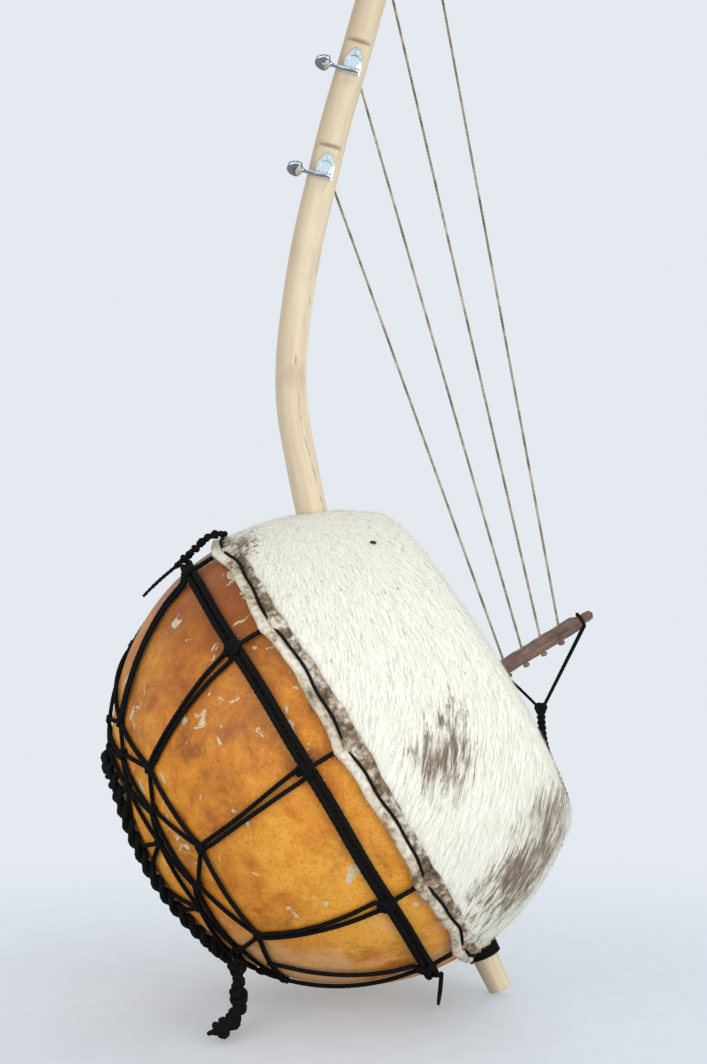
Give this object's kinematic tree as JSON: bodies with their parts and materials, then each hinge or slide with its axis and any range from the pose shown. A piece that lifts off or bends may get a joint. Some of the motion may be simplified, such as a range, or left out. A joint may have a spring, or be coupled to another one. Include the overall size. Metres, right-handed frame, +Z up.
{
  "type": "harp-lute",
  "caption": "Bass harp-lute: gourd bowl with a laced hairy hide, a curved stick neck through it, a standing bridge and geared tuners for twisted strings.",
  "frame": {"origin": "centre of the tail spike's end face", "axes": "+Z up, as the instrument stands on its spike and gourd; neck, bridge and strings lie in the plane y = 0; +X towards the bridge's tip; the tuner plates face -Y"},
  "size_m": [0.4963, 0.492, 1.2028],
  "materials": {
    "gourd": "dry mottled calabash skin, satin",
    "hide": "raw hide with short pale hair",
    "cord": "soft black twisted cord",
    "iron": "black tack head",
    "neck": "peeled stick, bare",
    "bridge": "carved, oiled",
    "string": "twisted fibre",
    "chrome": "polished",
    "steel": "machined",
    "brass": "machined"
  },
  "bodies": {
    "frame": {"gourd_bowl": "gourd", "hide_head": "hide", "flesh_ring": "cord", "girdle_cord": "cord", "belt_hoop": "cord", "lacing": "cord", "net_outer": "cord", "net_ring": "cord", "net_inner": "cord", "back_ring": "cord", "tail_chain": "cord", "top_chain": "cord", "loose_end": "cord", "tail_strap": "cord", "tail_binding": "cord", "hide_tack": "iron", "neck": "neck", "bridge": "bridge", "string_1": "string", "string_2": "string", "string_3": "string", "string_4": "string", "housing_1": "chrome", "cap_1": "chrome", "bushing_1": "chrome", "mount_screw_1": "chrome", "housing_2": "chrome", "cap_2": "chrome", "bushing_2": "chrome", "mount_screw_2": "chrome", "housing_3": "chrome", "cap_3": "chrome", "bushing_3": "chrome", "mount_screw_3": "chrome", "housing_4": "chrome", "cap_4": "chrome", "bushing_4": "chrome", "mount_screw_4": "chrome"},
    "tuner_key_1": {"worm_shaft_1": "steel", "button_1": "chrome"},
    "tuner_post_1": {"post_1": "chrome", "gear_1": "brass", "winding_1": "string"},
    "tuner_key_2": {"worm_shaft_2": "steel", "button_2": "chrome"},
    "tuner_post_2": {"post_2": "chrome", "gear_2": "brass", "winding_2": "string"},
    "tuner_key_3": {"worm_shaft_3": "steel", "button_3": "chrome"},
    "tuner_post_3": {"post_3": "chrome", "gear_3": "brass", "winding_3": "string"},
    "tuner_key_4": {"worm_shaft_4": "steel", "button_4": "chrome"},
    "tuner_post_4": {"post_4": "chrome", "gear_4": "brass", "winding_4": "string"}
  },
  "joints": [
    {"name": "key_turn_1", "type": "hinge", "parent": "frame", "child": "tuner_key_1", "pos_m": [-0.1791, -0.01535, 0.80962], "axis": [0.9705, 0, -0.241], "continuous": true},
    {"name": "post_turn_1", "type": "hinge", "parent": "frame", "child": "tuner_post_1", "pos_m": [-0.17732, 0, 0.8168], "axis": [0, 1, 0], "continuous": true},
    {"name": "key_turn_2", "type": "hinge", "parent": "frame", "child": "tuner_key_2", "pos_m": [-0.15154, -0.01535, 0.91404], "axis": [0.963, 0, -0.2694], "continuous": true},
    {"name": "post_turn_2", "type": "hinge", "parent": "frame", "child": "tuner_post_2", "pos_m": [-0.14955, 0, 0.92116], "axis": [0, 1, 0], "continuous": true},
    {"name": "key_turn_3", "type": "hinge", "parent": "frame", "child": "tuner_key_3", "pos_m": [-0.12155, -0.01535, 1.01779], "axis": [0.9574, 0, -0.2886], "continuous": true},
    {"name": "post_turn_3", "type": "hinge", "parent": "frame", "child": "tuner_post_3", "pos_m": [-0.11941, 0, 1.02487], "axis": [0, 1, 0], "continuous": true},
    {"name": "key_turn_4", "type": "hinge", "parent": "frame", "child": "tuner_key_4", "pos_m": [-0.08892, -0.01535, 1.12073], "axis": [0.9508, 0, -0.3098], "continuous": true},
    {"name": "post_turn_4", "type": "hinge", "parent": "frame", "child": "tuner_post_4", "pos_m": [-0.08663, 0, 1.12777], "axis": [0, 1, 0], "continuous": true}
  ],
  "couplings": [
    {"joint": "post_turn_1", "follows": "key_turn_1", "ratio": 0.066667},
    {"joint": "post_turn_2", "follows": "key_turn_2", "ratio": 0.066667},
    {"joint": "post_turn_3", "follows": "key_turn_3", "ratio": 0.066667},
    {"joint": "post_turn_4", "follows": "key_turn_4", "ratio": 0.066667}
  ]
}
